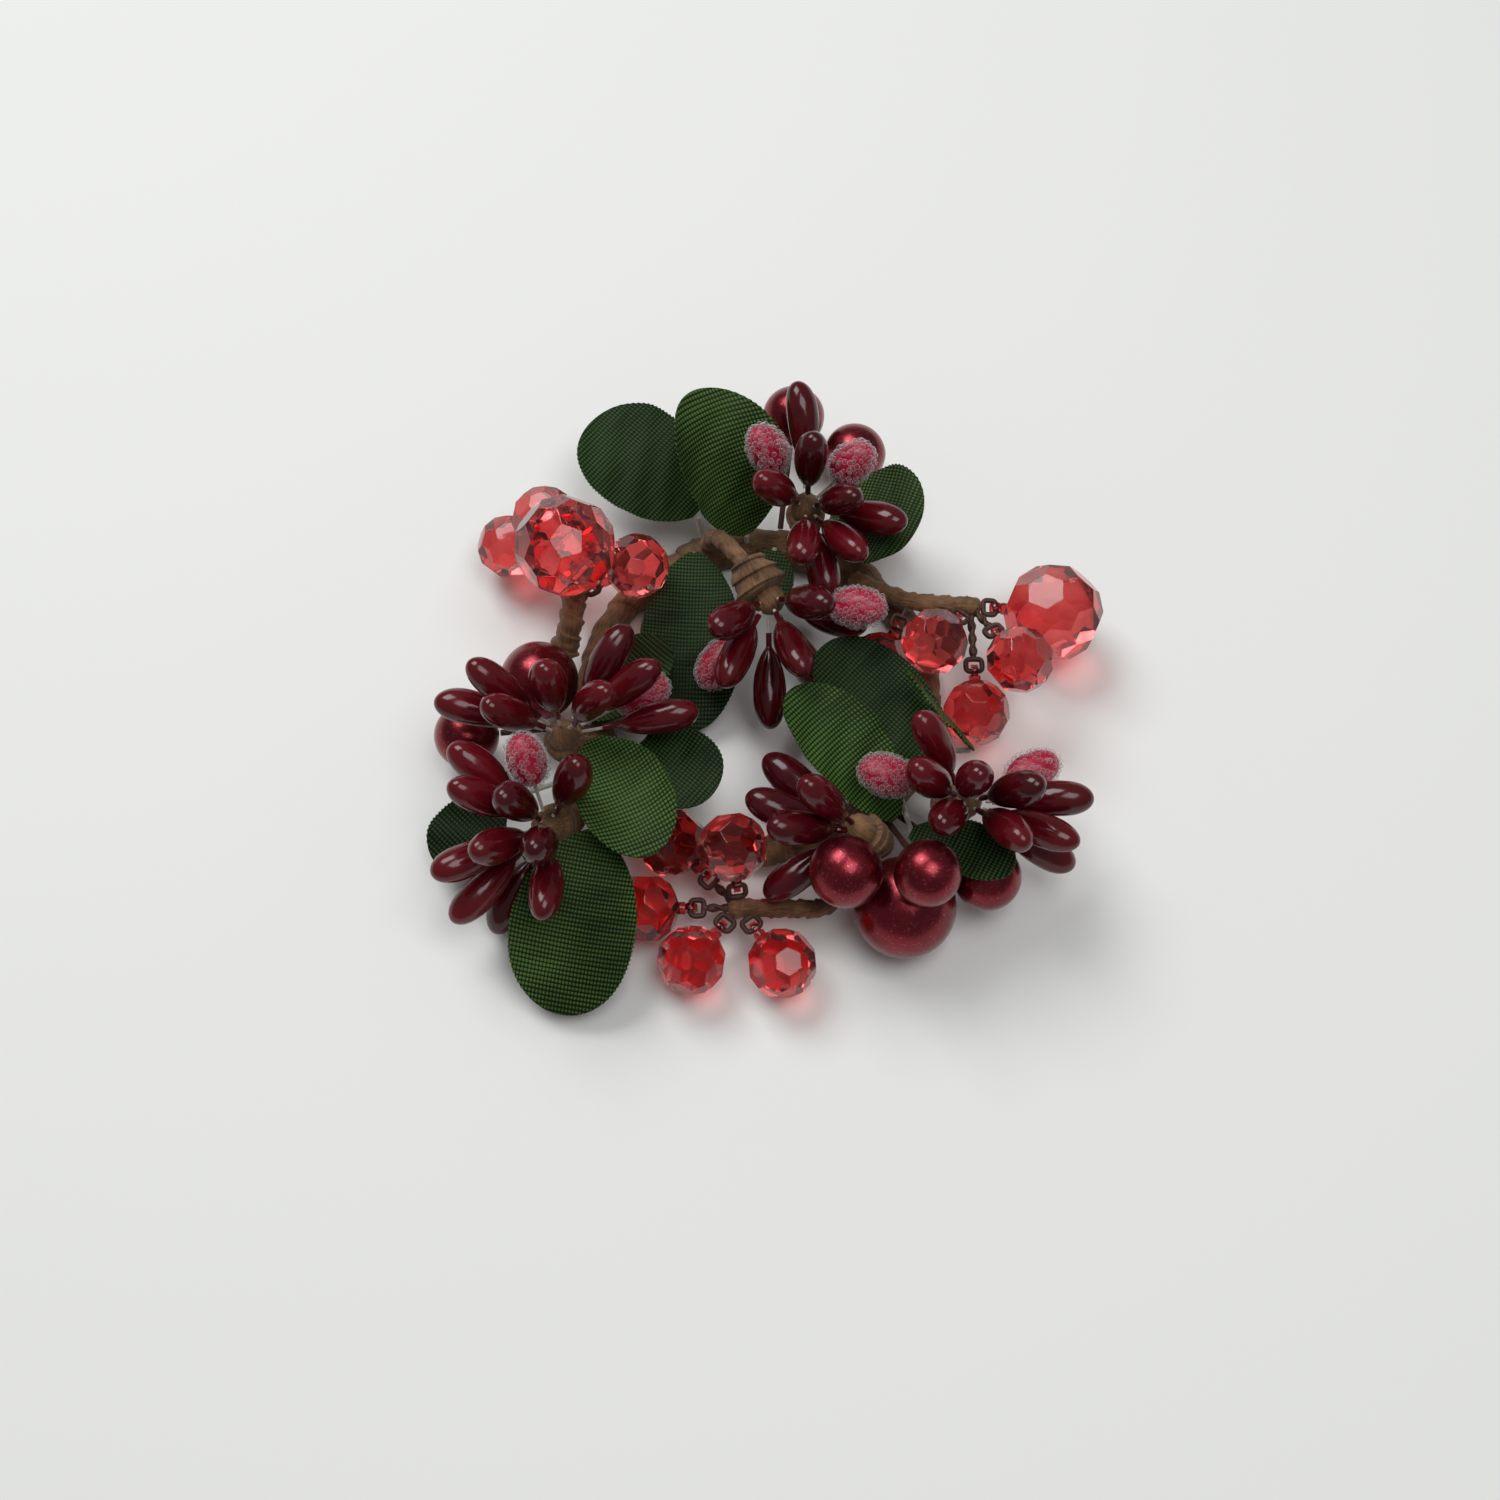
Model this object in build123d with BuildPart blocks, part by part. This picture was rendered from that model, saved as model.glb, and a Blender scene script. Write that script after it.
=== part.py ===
from build123d import *
from math import asin, cos, degrees, radians, sin, sqrt
import os

# Candle ring: a taped wire hoop dressed with berry sprays, cloth leaves and faceted beads, in mm.
# The origin is the middle of the candle opening on the table, +Z up and +Y to the back.

os.makedirs("parts", exist_ok=True)

# Hoop and tape
HOOP_RADIUS = 25.5          # to the centre line of the hoop wire
HOOP_WIRE = 2.0             # diameter
HOOP_WRAP = 5.0             # diameter over the tape
FOOT_FLAT = 0.4             # depth of the flat that the table presses into the tape
BINDING_BUILD = 0.7         # thickness that a group's binding adds to the wrap
SEAT_GAP = 0.02             # gap between a piece and what it is bound to

# Pip sprays
STEM_WIRE = 1.0             # diameter
STEM_TAPE = 2.8             # diameter over the taped stem
COLLAR_LAP = 2.2            # height of one lap of the tape collar under a spray head
DOME = 5.2                  # diameter of the bound thread ends on top of the collar
THREAD = 0.5                # diameter
PIP = 4.8                   # diameter
PIP_LENGTH = 12.5
SUGARED = 6.6               # diameter over the glass beads
SUGARED_LENGTH = 9.4
BERRY_WIRE = 0.9            # diameter

# Leaves
LEAF_CLOTH = 0.4            # thickness of the stiffened cloth
LEAF_STALK = 2.0            # width of the leaf where its wire starts
LEAF_WIRE = 0.8             # diameter
LEAF_GAP = 0.75             # between the end of a wire and its leaf

# Bead sprigs
BEAD_SMALL = 10.0           # diameter over the corners
BEAD_LARGE = 15.0
SHANK = 1.8                 # diameter
SHANK_REACH = 1.9           # from the bead's flat to the middle of the eye
EYE = 2.0                   # outside diameter
EYE_THICKNESS = 1.0
LOOP_WIRE = 0.8             # diameter
PIN_CLEARANCE = 0.1         # radial, between the loop wire and the eye
LOOP_SIDE_GAP = 0.3         # between the eye and each leg of its loop
LOOP_LENGTH = 1.9           # centre line of a loop, along its stem
ROOT_BUILD = 0.8            # how much thicker a sprig's rounded root is than its taped stem
KNOT_BUILD = 0.5            # how much thicker the tape knot is that the loops leave
ROOT_GAP = 0.3              # between the root and the hoop

HOOP_HEIGHT = HOOP_WRAP / 2 - FOOT_FLAT
BOUND_RADIUS = HOOP_WRAP / 2 + BINDING_BUILD
DOME_REACH = DOME / 2 + 0.4
HEXAGON_FLAT = 0.915        # a bead's six-sided flats, as a share of its corner radius
PENTAGON_FLAT = 0.939
GOLDEN = (1 + sqrt(5)) / 2


def aim(bearing, lift):
    """Unit vector at a bearing from +X and a lift above level, in degrees."""
    level = cos(radians(lift))
    return Vector(level * cos(radians(bearing)), level * sin(radians(bearing)), sin(radians(lift)))


def on_hoop(bearing):
    """Point on the hoop's centre line."""
    return aim(bearing, 0) * HOOP_RADIUS + Vector(0, 0, HOOP_HEIGHT)


def beside_hoop(bearing, around, distance):
    """Point off the hoop's centre line, at an angle round its section from outward to up."""
    return on_hoop(bearing) + aim(bearing, around) * distance


def pointing(origin, direction):
    """Plane at a point with its normal along a direction."""
    return Plane(origin=origin, z_dir=direction)


def upright(origin, bearing):
    """Plane standing on edge at a point: X level along a bearing, Y up."""
    return Plane(origin=origin, x_dir=aim(bearing, 0), z_dir=aim(bearing - 90, 0))


def save(part, name):
    part.label = name
    export_step(part, f"parts/{name}.step")


# Hoop: a closed wire ring inside its sleeve of tape, flat where it stands on the table.
with BuildPart() as hoop_wire:
    with Locations((0, 0, HOOP_HEIGHT)):
        Torus(HOOP_RADIUS, HOOP_WIRE / 2)
save(hoop_wire.part, "hoop_wire")

with BuildPart() as hoop_wrap:
    with Locations((0, 0, HOOP_HEIGHT)):
        Torus(HOOP_RADIUS, HOOP_WRAP / 2)
    split(bisect_by=Plane.XY, keep=Keep.TOP)
    add(hoop_wire.part, mode=Mode.SUBTRACT)
save(hoop_wrap.part, "hoop_wrap")

# Bindings: wider tape over the tails of each berry group, from one bearing to another.
BINDINGS = {"top": (46, 118), "left": (184, 236), "right": (278, 334)}
with BuildPart() as bindings:
    for start, stop in BINDINGS.values():
        with BuildSketch(upright((0, 0, 0), start)):
            with Locations((HOOP_RADIUS, HOOP_HEIGHT)):
                Circle(BOUND_RADIUS)
                Circle(HOOP_WRAP / 2 + SEAT_GAP, mode=Mode.SUBTRACT)
        revolve(axis=Axis.Z, revolution_arc=stop - start)
    split(bisect_by=Plane.XY, keep=Keep.TOP)
save(bindings.part, "group_bindings")

# Space that every stem and wire is cut back from where it meets the bound hoop.
with BuildPart() as bound_hoop:
    with Locations((0, 0, HOOP_HEIGHT)):
        Torus(HOOP_RADIUS, BOUND_RADIUS + SEAT_GAP)

# Pip: a lacquered teardrop that swells from its thread, its tail at the origin.
with BuildPart() as pip:
    with BuildSketch(Plane.XZ):
        with BuildLine():
            tail = Line((0, 0), (THREAD / 2 + 0.1, 0))
            flank = Spline(tail @ 1, (PIP * 0.38, PIP_LENGTH * 0.3), (PIP / 2, PIP_LENGTH - PIP / 2),
                           tangents=((0.4, 1), (0, 1)))
            nose = CenterArc((0, PIP_LENGTH - PIP / 2), PIP / 2, 0, 90)
            Line(nose @ 1, tail @ 0)
        make_face()
    revolve(axis=Axis.Z)

# Sugared berry: an egg over the outside of its glass beads, its tail at the origin.
with BuildPart() as sugared_berry:
    with BuildSketch(Plane.XZ):
        with BuildLine():
            tail = Line((0, 0), (THREAD / 2 + 0.3, 0))
            side = Spline(tail @ 1, (SUGARED * 0.42, SUGARED_LENGTH * 0.28),
                          (SUGARED / 2, SUGARED_LENGTH * 0.55), (0, SUGARED_LENGTH),
                          tangents=((1, 0.6), (-1, 0)))
            Line(side @ 1, tail @ 0)
        make_face()
    revolve(axis=Axis.Z)

# Sprays: root bearing on the hoop, head, bearing and lift of the collar and its diameter over the
# last lap, then the bearing, lift and free thread of every pip and of every sugared berry.
SPRAYS = {
    "top": dict(
        root=74, head=(7.2, 24.9, 15.0), axis=(90, 88), collar=6.0,
        pips=[(95, 34, 3.5), (60, 86, 2.8), (-147, 62, 2.8), (-47, 57, 2.8), (-28, 28, 2.8),
              (-94, 36, 2.8), (-60, 31, 2.8), (-79, 2, 0.8)],
        sugared=[(147, 56, 4.8), (11, 58, 4.8)]),
    "centre": dict(
        root=108, head=(1.4, 9.5, 15.0), axis=(-56, -14), collar=8.4,
        pips=[(-124, 40, 2.5), (-112, 12, 2.5), (-89, -24, 4.0), (-72, 22, 2.5), (-44, -50, 2.5),
              (-44, 49, 2.5), (0, -32, 2.2)],
        sugared=[(-16, 17, 6.5), (-130, -22, 4.5)]),
    "left_upper": dict(
        root=203, head=(-28.4, -11.9, 13.0), axis=(-157, 88), collar=6.0,
        pips=[(159, 48, 3.8), (174, 24, 3.8), (-162, 60, 3.8), (122, 84, 3.8), (50, 37, 3.8),
              (-8, 66, 3.8), (22, 37, 3.8), (4, 15, 5.0)],
        sugared=[(30, 0, 5.5)]),
    "left_lower": dict(
        root=221, head=(-29.9, -26.1, 13.0), axis=(-139, 40), collar=6.0,
        pips=[(148, 32, 2.8), (177, 48, 2.8), (-152, 73, 2.8), (25, 70, 2.8), (-91, 58, 2.8), (-133, 47, 2.8),
              (-150, 14, 2.8), (-135, -9, 3.5), (-124, -36, 2.8), (-88, 26, 2.8)],
        sugared=[(112, 62, 4.8)]),
    "right_inner": dict(
        root=305, head=(14.3, -26.7, 13.0), axis=(172, 55), collar=6.0,
        pips=[(140, 0, 2.2), (172, 60, 1.6), (168, 14, 1.6), (-164, 38, 1.6), (-148, -14, 1.0)],
        sugared=[(154, -23, 5.6)]),
    "right_outer": dict(
        root=327, head=(29.3, -22.4, 13.0), axis=(-34, 58), collar=6.0,
        pips=[(-5, 16, 2.8), (-31, 20, 2.8), (-60, 44, 2.8), (-28, -14, 2.8), (-88, 80, 2.8), (-24, 59, 2.8),
              (138, 56, 2.8), (-170, 62, 2.8), (-120, 52, 0.8)],
        sugared=[(170, 24, 5.0), (26, 0, 3.4)]),
}

stem_paths = {}
for name, spray in SPRAYS.items():
    head = Vector(spray["head"])
    axis = aim(*spray["axis"])
    with BuildLine() as path:
        Spline(on_hoop(spray["root"]), head, tangents=(Vector(0, 0, 1), axis))
    stem_paths[name] = path

with BuildPart() as stem_wires:
    for path in stem_paths.values():
        with BuildSketch(pointing(path.line @ 0, path.line % 0)):
            Circle(STEM_WIRE / 2)
        sweep(path=path.line)
    add(bound_hoop.part, mode=Mode.SUBTRACT)
save(stem_wires.part, "spray_stem_wires")

for name, spray in SPRAYS.items():
    head = Vector(spray["head"])
    path = stem_paths[name]
    collar = spray["collar"]
    with BuildPart() as tape:
        with BuildSketch(pointing(path.line @ 0, path.line % 0)):
            Circle(STEM_TAPE / 2)
        sweep(path=path.line)
        side = aim(spray["axis"][0] + 90, 0)
        axis = aim(*spray["axis"])
        with BuildSketch(Plane(origin=head, x_dir=side, z_dir=side.cross(axis))):
            with BuildLine():
                laps = Polyline((0, -3 * COLLAR_LAP), (STEM_TAPE / 2, -3 * COLLAR_LAP),
                                (collar * 0.34, -2.8 * COLLAR_LAP), (collar * 0.41, -1.9 * COLLAR_LAP),
                                (collar * 0.45, -1.8 * COLLAR_LAP), (collar / 2, -0.9 * COLLAR_LAP),
                                (collar * 0.46, -0.5 * COLLAR_LAP), (DOME / 2, -0.5 * COLLAR_LAP),
                                (DOME / 2, 0))
                dome = CenterArc((0, 0), DOME / 2, 0, 90)
                Line(dome @ 1, laps @ 0)
            make_face()
        revolve(axis=Axis(head, axis))
        add(bound_hoop.part, mode=Mode.SUBTRACT)
        add(stem_wires.part, mode=Mode.SUBTRACT)
    save(tape.part, f"{name}_spray_tape")

    with BuildPart() as pips:
        for bearing, lift, free in spray["pips"]:
            outward = aim(bearing, lift)
            with Locations(pointing(head + outward * (DOME_REACH + free), outward)):
                add(pip.part)
    save(pips.part, f"{name}_pips")

with BuildPart() as sugared_berries:
    for spray in SPRAYS.values():
        for bearing, lift, free in spray["sugared"]:
            outward = aim(bearing, lift)
            with Locations(pointing(Vector(spray["head"]) + outward * (DOME_REACH + free), outward)):
                add(sugared_berry.part)
save(sugared_berries.part, "sugared_berries")

with BuildPart() as threads:
    for spray in SPRAYS.values():
        for bearing, lift, free in spray["pips"] + spray["sugared"]:
            outward = aim(bearing, lift)
            with Locations(pointing(Vector(spray["head"]) + outward * DOME_REACH, outward)):
                Cylinder(THREAD / 2, free, align=(Align.CENTER, Align.CENTER, Align.MIN))
save(threads.part, "stamen_threads")

# Metallic berries: root bearing of the wire on the hoop, centre and diameter of each.
BERRIES = {
    "top": [(83, (5.6, 45.2, 9.0), 10.0), (68, (15.2, 39.5, 7.0), 10.0), (55, (17.4, 27.0, 8.0), 10.0)],
    "left": [(183, (-32.5, -1.5, 9.5), 12.0), (192, (-43.1, -9.3, 7.0), 10.0)],
    "right": [(296, (11.9, -34.6, 17.5), 10.5), (313, (22.9, -35.7, 19.8), 9.6),
              (315, (32.4, -32.2, 9.0), 10.0), (299, (20.6, -36.2, 7.55), 15.0)],
}
with BuildPart() as all_berries:
    for group, berries in BERRIES.items():
        with BuildPart() as group_berries:
            for root, centre, diameter in berries:
                with Locations(centre):
                    Sphere(diameter / 2)
        save(group_berries.part, f"{group}_metallic_berries")
        add(group_berries.part)

with BuildPart() as berry_wires:
    for berries in BERRIES.values():
        for root, centre, diameter in berries:
            run = Vector(centre) - on_hoop(root)
            with Locations(pointing(on_hoop(root), run)):
                Cylinder(BERRY_WIRE / 2, run.length, align=(Align.CENTER, Align.CENTER, Align.MIN))
    add(bound_hoop.part, mode=Mode.SUBTRACT)
    add(all_berries.part, mode=Mode.SUBTRACT)
save(berry_wires.part, "berry_wires")


def leaf(length, width, bend, cup):
    """Cloth leaf along +X from its stalk: an oval cut from a shell bent along it and cupped across it.

    bend and cup are radii, positive where the tip or the edges turn up.
    """
    reach = width / 2 + 1
    rise = (abs(cup) - sqrt(cup * cup - reach * reach)) * (1 if cup > 0 else -1)
    turn = degrees(asin(min(0.98, (length + 1) / abs(bend))))
    with BuildPart() as blade:
        with BuildSketch(Plane.YZ):
            with BuildLine():
                under = ThreePointArc((-reach, rise), (0, 0), (reach, rise))
                over = ThreePointArc((-reach, rise + LEAF_CLOTH), (0, LEAF_CLOTH), (reach, rise + LEAF_CLOTH))
                Line(under @ 0, over @ 0)
                Line(under @ 1, over @ 1)
            make_face()
        revolve(axis=Axis((0, 0, bend), (0, -1 if bend > 0 else 1, 0)), revolution_arc=turn)
        with BuildSketch(Plane.XY):
            with BuildLine():
                edge = Spline((0, LEAF_STALK / 2), (length * 0.26, width * 0.4), (length * 0.58, width / 2),
                              (length * 0.88, width * 0.35), (length, 0), tangents=((1, 0.6), (0, -1)))
                mirror(edge, about=Plane.XZ)
                Line((0, LEAF_STALK / 2), (0, -LEAF_STALK / 2))
            make_face()
        extrude(amount=length, both=True, mode=Mode.INTERSECT)
    return blade.part


def leaf_plane(base, bearing, lift, roll):
    """Plane of a leaf at its stalk: X along the leaf, turned about it by the roll."""
    along = aim(bearing, lift)
    upward = aim(bearing, lift + 90)
    across = upward.cross(along)
    return Plane(origin=base, x_dir=along, z_dir=upward * cos(radians(roll)) + across * sin(radians(roll)))


# Leaves: root bearing of the wire on the hoop, stalk, bearing, lift and roll there, then length,
# width, bend and cup.
LEAVES = {
    "top_leaf_outer_left": (109, (-9.6, 28.2, 8.0), (141, 24, 0), (21.5, 18.0, -60, 40)),
    "top_leaf_back": (94, (-1.8, 24.0, 9.0), (108, 56, -20), (22.0, 18.0, -36, 15)),
    "top_leaf_right": (66, (11.6, 25.6, 12.5), (-26, 30, 0), (14.0, 18.5, -40, 30)),
    "top_leaf_inner": (115, (-9.8, 21.4, 7.4), (-92, 2, 0), (28.0, 15.5, -72, 30)),
    "top_leaf_small": (84, (2.4, 21.6, 7.6), (-100, 6, 0), (10.0, 8.0, -25, 16)),
    "left_leaf_back": (194, (-25.6, -6.6, 7.0), (42, 4, 22), (16.5, 13.0, 70, 30)),
    "left_leaf_upper": (211, (-23.6, -14.2, 16.5), (-64, 14, 0), (20.0, 13.5, -60, 14)),
    "left_leaf_inner": (215, (-16.8, -12.0, 11.2), (-39, 4, -6), (13.0, 12.0, -60, 30)),
    "left_leaf_front": (229, (-23.4, -26.6, 12.5), (-101, -6, 0), (25.5, 18.0, -50, 24)),
    "left_leaf_outer": (208, (-37.4, -20.2, 8.0), (-135, -6, 0), (13.0, 11.0, -50, 24)),
    "right_leaf_light": (320, (19.7, -23.5, 9.5), (130, 31, -10), (23.5, 12.7, -60, 14)),
    "right_leaf_long": (332, (27.2, -14.4, 9.4), (138, 18, 6), (24.5, 13.6, -70, 40)),
    "right_leaf_edge": (337, (30.8, -14.3, 13.1), (142, 24, -60), (15.0, 7.0, 80, 30)),
    "right_leaf_low": (324, (21.6, -26.9, 12.4), (-24, 19, 8), (15.5, 9.2, -60, 20)),
}
for name, (root, base, pose, shape) in LEAVES.items():
    with BuildPart() as placed_leaf:
        with Locations(leaf_plane(base, *pose)):
            add(leaf(*shape))
    save(placed_leaf.part, name)

with BuildPart() as leaf_wires:
    for root, base, pose, shape in LEAVES.values():
        run = Vector(base) - on_hoop(root)
        with Locations(pointing(on_hoop(root), run)):
            Cylinder(LEAF_WIRE / 2, run.length - LEAF_GAP, align=(Align.CENTER, Align.CENTER, Align.MIN))
    add(bound_hoop.part, mode=Mode.SUBTRACT)
save(leaf_wires.part, "leaf_wires")

# Facet directions of a bead: twelve five-sided flats and twenty six-sided ones.
signs = (1, -1)
pentagons = [(0, a, b * GOLDEN) for a in signs for b in signs]
hexagons = [(0, a * GOLDEN, b / GOLDEN) for a in signs for b in signs]
pentagons += [(y, z, x) for x, y, z in pentagons] + [(z, x, y) for x, y, z in pentagons]
hexagons += [(y, z, x) for x, y, z in hexagons] + [(z, x, y) for x, y, z in hexagons]
hexagons += [(a, b, c) for a in signs for b in signs for c in signs]


def bead_reach(diameter):
    """Middle of a bead from the middle of its eye."""
    return diameter / 2 * HEXAGON_FLAT + SHANK_REACH


def faceted_bead(diameter):
    """Bead with its eye at the origin, hung on a loop wire along X, its body along +Z."""
    middle = Vector(0, 0, bead_reach(diameter))
    with BuildPart() as bead:
        with Locations(middle):
            Box(diameter, diameter, diameter)
        for flats, share in ((pentagons, PENTAGON_FLAT), (hexagons, HEXAGON_FLAT)):
            for flat in flats:
                outward = Vector(flat).normalized()
                flat_middle = middle + outward * (share * diameter / 2)
                split(bisect_by=pointing(flat_middle, outward), keep=Keep.BOTTOM)
        with Locations((0, 0, EYE * 0.4)):
            Cylinder(SHANK / 2, SHANK_REACH, align=(Align.CENTER, Align.CENTER, Align.MIN))
        with Locations(Plane.YZ):
            Cylinder(EYE / 2, EYE_THICKNESS)
            Cylinder(LOOP_WIRE / 2 + PIN_CLEARANCE, EYE_THICKNESS + SHANK, mode=Mode.SUBTRACT)
    return bead.part


# Sprigs: root bearing and angle round the hoop, bend of the stem, knot, radius of the turn and diameter
# over the tape, then for each bead its size, bearing, lift, loop stem and where the loop leaves the stem.
SPRIGS = {
    "left": dict(
        root=(168, 40), bend=(-28.3, 8.6, 9.0), knot=(-27.7, 12.2, 11.0), turn=3.0, tape=3.8,
        beads=[(BEAD_LARGE, 108, 84, 3.8, "knot"), (BEAD_SMALL, 135, -16, 9.5, "knot"),
               (BEAD_SMALL, 113, 19, 6.0, "knot"), (BEAD_SMALL, 22, 12, 3.8, "knot")]),
    "right": dict(
        root=(47, 122), bend=(22.8, 12.4, 8.6), knot=(32.0, 10.8, 10.0), turn=8.0, tape=2.8,
        beads=[(BEAD_LARGE, -3, -4, 3.8, "knot"), (BEAD_SMALL, -62, 21, 7.5, "knot"),
               (BEAD_SMALL, -89, -7, 10.4, "knot"), (BEAD_SMALL, -128, 20, 4.1, "knot"),
               (BEAD_SMALL, -115, -9, 4.6, "bend")]),
    "front": dict(
        root=(-66, 25), bend=(10.6, -35.6, 4.6), knot=(-2.9, -35.7, 5.5), turn=4.0, tape=2.8,
        beads=[(BEAD_SMALL, 98, 54, 3.9, "knot"), (BEAD_SMALL, -179, 2, 6.9, "knot"),
               (BEAD_SMALL, -130, 3, 4.0, "knot"), (BEAD_SMALL, -54, 3, 4.0, "knot"),
               (BEAD_SMALL, 138, 15, 6.9, "knot")]),
}
LOOP_WIDTH = EYE_THICKNESS + 2 * LOOP_SIDE_GAP + LOOP_WIRE
beads_by_size = {diameter: faceted_bead(diameter) for diameter in (BEAD_SMALL, BEAD_LARGE)}


def wire_loop(stem):
    """Loop of wire with its far bar along X through the origin, and a stem of a given length along -Z."""
    with BuildPart() as loop:
        with BuildLine(Plane.XZ) as ring:
            FilletPolyline((-LOOP_WIDTH / 2, 0), (LOOP_WIDTH / 2, 0), (LOOP_WIDTH / 2, -LOOP_LENGTH),
                           (-LOOP_WIDTH / 2, -LOOP_LENGTH), radius=LOOP_WIRE * 0.75, close=True)
        with BuildSketch(pointing(ring.line @ 0, ring.line % 0)):
            Circle(LOOP_WIRE / 2)
        sweep(path=ring.line)
        with Locations((0, 0, -LOOP_LENGTH)):
            Cylinder(LOOP_WIRE / 2, stem - LOOP_LENGTH, align=(Align.CENTER, Align.CENTER, Align.MAX))
    return loop.part


for side, sprig in SPRIGS.items():
    bearing, around = sprig["root"]
    root = beside_hoop(bearing, around, BOUND_RADIUS + ROOT_GAP + (sprig["tape"] + ROOT_BUILD) / 2)
    knot = Vector(sprig["knot"])
    with BuildLine() as path:
        FilletPolyline(root, sprig["bend"], knot, radius=sprig["turn"])
    bend = Vector(sprig["bend"])
    with BuildPart() as tape:
        with BuildSketch(pointing(path.line @ 0, path.line % 0)):
            Circle(sprig["tape"] / 2)
        sweep(path=path.line)
        with Locations(pointing(root, path.line % 0)):
            Sphere((sprig["tape"] + ROOT_BUILD) / 2)
        with Locations(pointing(knot, path.line % 1)):
            Sphere((sprig["tape"] + KNOT_BUILD) / 2)
    with BuildPart() as wires:
        for diameter, bead_bearing, lift, stem, leaves in sprig["beads"]:
            outward = aim(bead_bearing, lift)
            eye = (knot if leaves == "knot" else bend) + outward * stem
            with Locations(Plane(origin=eye, x_dir=aim(bead_bearing + 90, 0), z_dir=outward)):
                add(wire_loop(stem))
        add(tape.part, mode=Mode.SUBTRACT)
    save(tape.part, f"{side}_sprig_tape")
    save(wires.part, f"{side}_sprig_wires")
    for number, (diameter, bead_bearing, lift, stem, leaves) in enumerate(sprig["beads"], 1):
        outward = aim(bead_bearing, lift)
        eye = (knot if leaves == "knot" else bend) + outward * stem
        with BuildPart() as bead:
            with Locations(Plane(origin=eye, x_dir=aim(bead_bearing + 90, 0), z_dir=outward)):
                add(beads_by_size[diameter])
        save(bead.part, f"{side}_bead_{number}")
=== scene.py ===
import bmesh
import bpy
import numpy as np
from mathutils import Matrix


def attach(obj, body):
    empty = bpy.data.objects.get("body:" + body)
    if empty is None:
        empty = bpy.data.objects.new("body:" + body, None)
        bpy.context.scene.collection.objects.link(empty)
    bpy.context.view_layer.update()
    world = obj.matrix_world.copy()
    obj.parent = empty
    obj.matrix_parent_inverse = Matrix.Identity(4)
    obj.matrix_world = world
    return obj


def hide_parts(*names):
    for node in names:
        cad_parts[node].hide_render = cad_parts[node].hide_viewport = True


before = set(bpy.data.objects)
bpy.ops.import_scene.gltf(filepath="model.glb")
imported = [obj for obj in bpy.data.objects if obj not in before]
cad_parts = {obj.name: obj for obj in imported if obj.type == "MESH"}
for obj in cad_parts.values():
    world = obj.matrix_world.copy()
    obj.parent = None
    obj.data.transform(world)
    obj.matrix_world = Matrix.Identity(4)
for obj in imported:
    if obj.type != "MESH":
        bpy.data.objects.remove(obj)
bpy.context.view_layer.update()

# Hoop: a closed steel wire in a sleeve of brown crepe-paper tape. The tape is wound on at a slant, each
# turn lapping the last, and the sleeve is 5 mm thick and pressed flat where the ring stands. A core here is
# the radius under the laps of tape.
MM, FULL_TURN, SAME_POINT = 0.001, 2 * np.pi, 1e-7
HOOP_RADIUS, HOOP_HEIGHT, WRAP_RADIUS = 25.5, 2.1, 2.5
HOOP_CORE, HOOP_TURNS, HOOP_LAP, LAP_DROP = WRAP_RADIUS - 0.5, 34, 0.38, 0.1
HOOP_ROWS, TAPE_SIDES = 801, 49
# Unevenness of the sleeve: height, number round the hoop and number round the tape.
HOOP_WAVES = ((0.06, 23, 2), (0.05, 57, -3))
# Creases of the tape: how many waves, their least and greatest rate, their greatest slant and phase, and
# what their sum is divided by.
CREASES, CREASE_RATE, CREASE_SLANT, ANY_PHASE, CREASE_CALM = 9, (0.5, 3.2), 4, 6.3, 5


def linear(colour):
    """An sRGB hex colour as linear RGBA."""
    srgb = np.array([int(colour[i:i + 2], 16) for i in (1, 3, 5)]) / 255
    return (*np.where(srgb < 0.04045, srgb / 12.92, ((srgb + 0.055) / 1.055) ** 2.4), 1.0)


def feed(material, node, inputs):
    """Sets each input of a node to a value, or links it to another node's output."""
    for name, value in inputs.items():
        if isinstance(value, bpy.types.NodeSocket):
            material.node_tree.links.new(value, node.inputs[name])
        else:
            node.inputs[name].default_value = value


def add_node(material, kind, inputs, **settings):
    """Adds a node with its settings and inputs."""
    made = material.node_tree.nodes.new(kind)
    for name, value in settings.items():
        setattr(made, name, value)
    feed(material, made, inputs)
    return made


def dress(material, inputs):
    """Feeds the inputs of a material's shader."""
    feed(material, material.node_tree.nodes["Principled BSDF"], inputs)


def finish_of(name, inputs):
    """A new material with one shader that has these inputs."""
    material = bpy.data.materials.new(name)
    material.use_nodes = True
    dress(material, inputs)
    return material


def speckle(material, size, detail=2.0, **inputs):
    """Noise that stays with the piece, about size mm from one grain to the next."""
    spot = add_node(material, "ShaderNodeTexCoord", {})
    return add_node(material, "ShaderNodeTexNoise", {
        "Vector": spot.outputs["Object"], "Scale": 1 / (size * MM), "Detail": detail, **inputs}).outputs[0]


def between(material, share, first, second):
    """The colour that lies a share of the way from one colour to another."""
    return add_node(material, "ShaderNodeMix", {0: share, 6: first, 7: second}, data_type="RGBA").outputs[2]


def ranged(material, value, low, high, to_low=0.0, to_high=1.0):
    """A value from one range laid on another and kept within it."""
    return add_node(material, "ShaderNodeMapRange", {
        "Value": value, "From Min": low, "From Max": high, "To Min": to_low, "To Max": to_high}).outputs[0]


def reckon(material, operation, *values, **settings):
    """One step of arithmetic on values or outputs."""
    return add_node(material, "ShaderNodeMath", dict(enumerate(values)), operation=operation,
                    **settings).outputs[0]


def relief(material, height, strength, depth):
    """Fine relief from a height, at most depth mm deep."""
    return add_node(material, "ShaderNodeBump", {
        "Height": height, "Strength": strength, "Distance": depth * MM}).outputs[0]


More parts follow.
